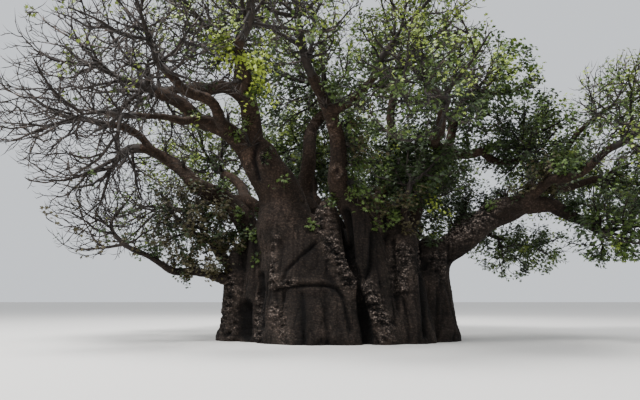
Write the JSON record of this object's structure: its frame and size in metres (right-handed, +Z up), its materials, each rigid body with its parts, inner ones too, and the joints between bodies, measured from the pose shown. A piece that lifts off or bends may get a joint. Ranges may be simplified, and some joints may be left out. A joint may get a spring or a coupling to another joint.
{
  "type": "baobab tree",
  "caption": "Old baobab with a broad fused trunk, tapering boughs and a wide low crown, nearly bare on one side and in fresh leaf on the other.",
  "frame": {"origin": "middle of the flat cut under the trunk, at ground level", "axes": "+Z up, +X along the crown's longest side towards the leafy half, the pictured side faces -Y"},
  "size_m": [24.91, 19.1791, 12.9672],
  "materials": {
    "bark": "rough folded bark",
    "bare_twigs": "dry twig bark",
    "foliage": "thin fresh leaves"
  },
  "bodies": {
    "root": {"trunk": "bark", "main_stem": "bark", "bough_left_upper": "bark", "bough_crown_left": "bark", "bough_left_level": "bark", "bough_left_low": "bark", "bough_left_far": "bark", "bough_left_skirt": "bark", "bough_left_reach": "bark", "bough_left_front": "bark", "bough_left_front_low": "bark", "bough_left_back": "bark", "bough_left_back_low": "bark", "bough_top": "bark", "bough_centre": "bark", "bough_centre_right": "bark", "bough_upright": "bark", "bough_right_upper": "bark", "bough_right_mid": "bark", "bough_arch_rise": "bark", "bough_arch_fall": "bark", "bough_right_level": "bark", "bough_right_rise": "bark", "bough_right_front": "bark", "bough_right_back": "bark", "bough_right_back_low": "bark", "bough_back_centre": "bark", "bough_back_right": "bark", "bough_front": "bark", "bough_front_right": "bark", "bough_centre_low": "bark", "mass_left_upper": "bare_twigs", "mass_crown_left": "bare_twigs", "mass_left_level": "bare_twigs", "mass_left_low": "bare_twigs", "mass_left_far": "bare_twigs", "mass_left_skirt": "foliage", "mass_left_reach": "bare_twigs", "mass_left_front": "bare_twigs", "mass_left_front_low": "bare_twigs", "mass_left_back": "bare_twigs", "mass_left_back_low": "bare_twigs", "mass_top": "foliage", "mass_centre": "foliage", "mass_centre_right": "foliage", "mass_upright": "foliage", "mass_right_upper": "foliage", "mass_right_mid": "foliage", "mass_arch_fall": "foliage", "mass_right_level": "foliage", "mass_right_rise": "foliage", "mass_right_front": "foliage", "mass_right_back": "foliage", "mass_right_back_low": "foliage", "mass_back_centre": "foliage", "mass_back_right": "foliage", "mass_front": "bare_twigs", "mass_front_right": "foliage", "mass_centre_low": "foliage"}
  },
  "joints": []
}
